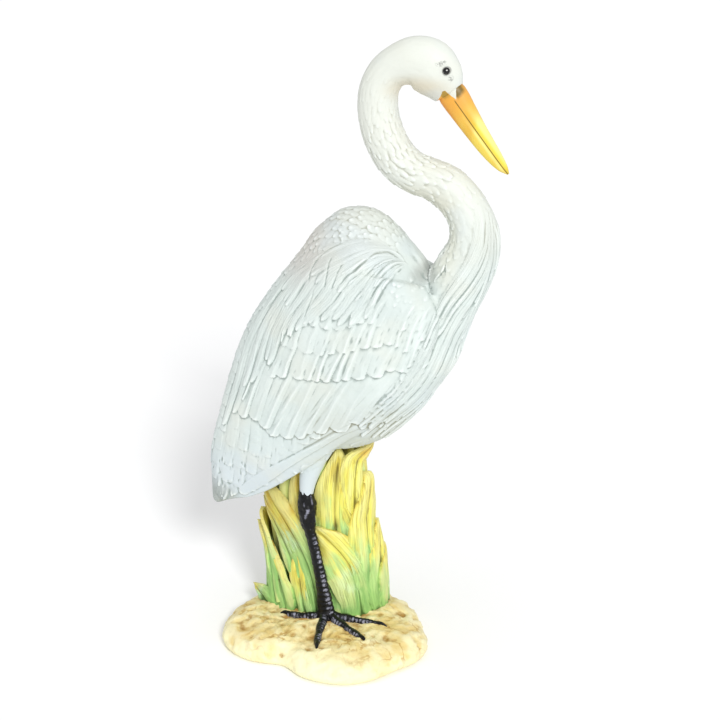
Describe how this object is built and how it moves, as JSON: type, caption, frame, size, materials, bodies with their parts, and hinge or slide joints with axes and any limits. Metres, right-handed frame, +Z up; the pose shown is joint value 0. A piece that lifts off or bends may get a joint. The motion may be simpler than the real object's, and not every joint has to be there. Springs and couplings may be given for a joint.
{
  "type": "ceramic egret sculpture",
  "caption": "White bisque ceramic egret with an S-curved neck, standing in yellow-green reed leaves on a lobed sandy base, cast as one piece.",
  "frame": {"origin": "centre of the flat underside of the sandy base, on the surface that it stands on", "axes": "+Z up, +X the way the bird heads, +Y to the bird's left, away from the side with the leg in view"},
  "size_m": [0.1961, 0.1266, 0.4057],
  "materials": {
    "white_bisque": "satin hand-painted bisque"
  },
  "bodies": {
    "root": {"egret_sculpture": "white_bisque"}
  },
  "joints": []
}
